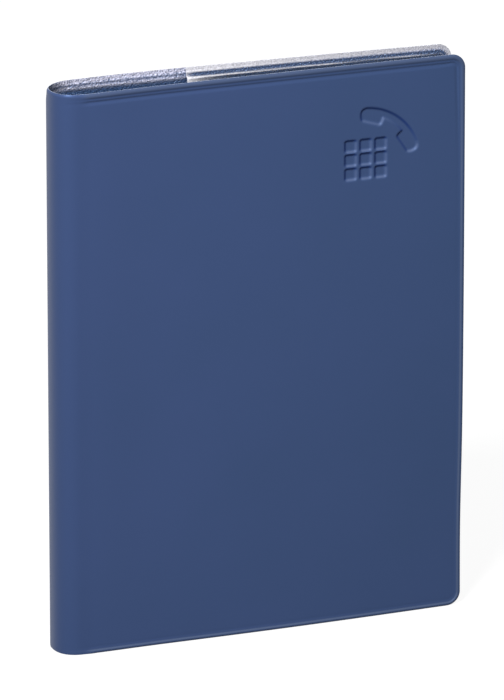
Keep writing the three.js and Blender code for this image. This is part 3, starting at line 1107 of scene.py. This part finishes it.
def make_letters(material):
    """The index letters as one mesh, each printed on its own step."""
    letters = [new_letter(letter, place) for letter, place in letter_places()]
    bpy.context.view_layer.update()
    depsgraph = bpy.context.evaluated_depsgraph_get()
    points = []
    faces = []
    for letter in letters:
        mesh = bpy.data.meshes.new_from_object(letter.evaluated_get(depsgraph))
        first = len(points)
        points += [letter.matrix_world @ vertex.co for vertex in mesh.vertices]
        faces += [[first + index for index in face.vertices] for face in mesh.polygons]
        bpy.data.objects.remove(letter)
    mesh = bpy.data.meshes.new("index_letters")
    mesh.from_pydata(points, [], faces)
    mesh.materials.append(material)
    made = bpy.data.objects.new("index_letters", mesh)
    bpy.context.scene.collection.objects.link(made)
    return made


# The studio


def make_camera():
    """The photograph's camera: a fitted angle and scale, with its aim moved instead of a shift."""
    data = bpy.data.cameras.new("camera")
    camera = bpy.data.objects.new("camera", data)
    bpy.context.scene.collection.objects.link(camera)
    bpy.context.scene.camera = camera
    level = math.cos(CAMERA_PITCH)
    back = Vector((-math.sin(CAMERA_YAW) * level, -math.cos(CAMERA_YAW) * level, math.sin(CAMERA_PITCH)))
    right = Vector((math.cos(CAMERA_YAW), -math.sin(CAMERA_YAW), 0))
    up = back.cross(right)
    pixel = MM / PIXELS_PER_MM
    aim = Vector((0, 0, HEIGHT / 2 * MM))
    aim -= right * (CENTRE_PIXEL[0] - IMAGE_WIDTH / 2) * pixel
    aim += up * (CENTRE_PIXEL[1] - IMAGE_HEIGHT / 2) * pixel
    camera.location = aim + back * FOCAL_PIXELS * pixel
    camera.rotation_mode = "QUATERNION"
    camera.rotation_quaternion = (-back).to_track_quat("-Z", "Y")
    data.sensor_width = SENSOR
    data.lens = FOCAL_PIXELS * SENSOR / IMAGE_HEIGHT
    data.clip_start = CLIP_START
    data.clip_end = CLIP_END


def area_lamp(name, place, size, power):
    data = bpy.data.lights.new(name, "AREA")
    data.shape = "DISK"
    data.size = size
    data.energy = power
    lamp = bpy.data.objects.new(name, data)
    lamp.location = place
    lamp.rotation_mode = "QUATERNION"
    lamp.rotation_quaternion = (Vector(LAMP_AIM) - Vector(place)).to_track_quat("-Z", "Y")
    bpy.context.scene.collection.objects.link(lamp)


def make_lights():
    area_lamp("key", place=(-0.75, -0.95, 1.41), size=0.4, power=51)
    area_lamp("top", place=(0.0, 0.3, 1.8), size=0.8, power=4)
    area_lamp("back", place=(0.6, 1.6, 1.2), size=1.2, power=22)


def seen_directly(nodes, links):
    """1 where a ray comes from the camera, a mirror reflection or a clear film, and otherwise 0."""
    path = nodes.new("ShaderNodeLightPath")
    seen = path.outputs["Is Camera Ray"]
    for name in ("Is Glossy Ray", "Is Transmission Ray"):
        seen = calculated(nodes, links, "MAXIMUM", seen, path.outputs[name])
    return seen


def make_world():
    """A world that looks white and lights the object faintly."""
    world = bpy.data.worlds.new("studio")
    bpy.context.scene.world = world
    world.use_nodes = True
    nodes = world.node_tree.nodes
    links = world.node_tree.links
    background = nodes["Background"]
    background.inputs["Color"].default_value = (*WHITE, 1)
    strength = mapped(nodes, links, seen_directly(nodes, links), 0, 1, WORLD_LIGHT, WORLD_SHOWN)
    links.new(strength, background.inputs["Strength"])


def make_floor():
    """A floor that looks white, lights the object faintly and takes its shadow."""
    bpy.ops.mesh.primitive_plane_add(size=FLOOR_SIZE, location=(0, 0, -FLOOR_DROP))
    floor = bpy.context.object
    floor.name = "floor"
    material, nodes, links, shader = new_material("floor_white")
    shader.inputs["Base Color"].default_value = (*FLOOR_GREY, 1)
    shader.inputs["Roughness"].default_value = 1.0
    shader.inputs["Specular IOR Level"].default_value = 0.0
    shader.inputs["Emission Color"].default_value = (*WHITE, 1)
    glow = calculated(nodes, links, "MULTIPLY", seen_directly(nodes, links), FLOOR_GLOW)
    links.new(glow, shader.inputs["Emission Strength"])
    floor.data.materials.append(material)


# Assembly


def fold_over(piece):
    """Bakes the sheet's placing into its mesh."""
    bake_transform(piece)


def add_covers():
    front, back = make_covers()
    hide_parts("front_cover", "spine_cover")
    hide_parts("back_cover")
    fold_over(front)
    fold_over(back)


def add_pockets():
    film = clear_film()
    for name, side in (("front", -1), ("back", 1)):
        pocket = pocket_film(f"{name}_pocket_film", side, film)
        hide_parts(f"{name}_pocket")
        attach(pocket, name)


def add_cards():
    card = plain_card()
    front_card = card_sheet("front_card_wrap", -1, ROUND_SPINE, card)
    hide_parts("front_card", "spine_card")
    back_card = card_sheet("back_card_wrap", 1, SEAM_ONLY, card)
    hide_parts("back_card")
    fold_over(front_card)
    fold_over(back_card)


def add_pages():
    pages = make_pages()
    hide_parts("page_block")
    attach(pages, "block")
    letters = make_letters(index_ink())
    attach(letters, "block")


def main():
    bpy.context.scene.view_settings.view_transform = "Standard"
    make_camera()
    make_world()
    make_floor()
    make_lights()
    add_covers()
    add_pockets()
    add_cards()
    add_pages()


main()
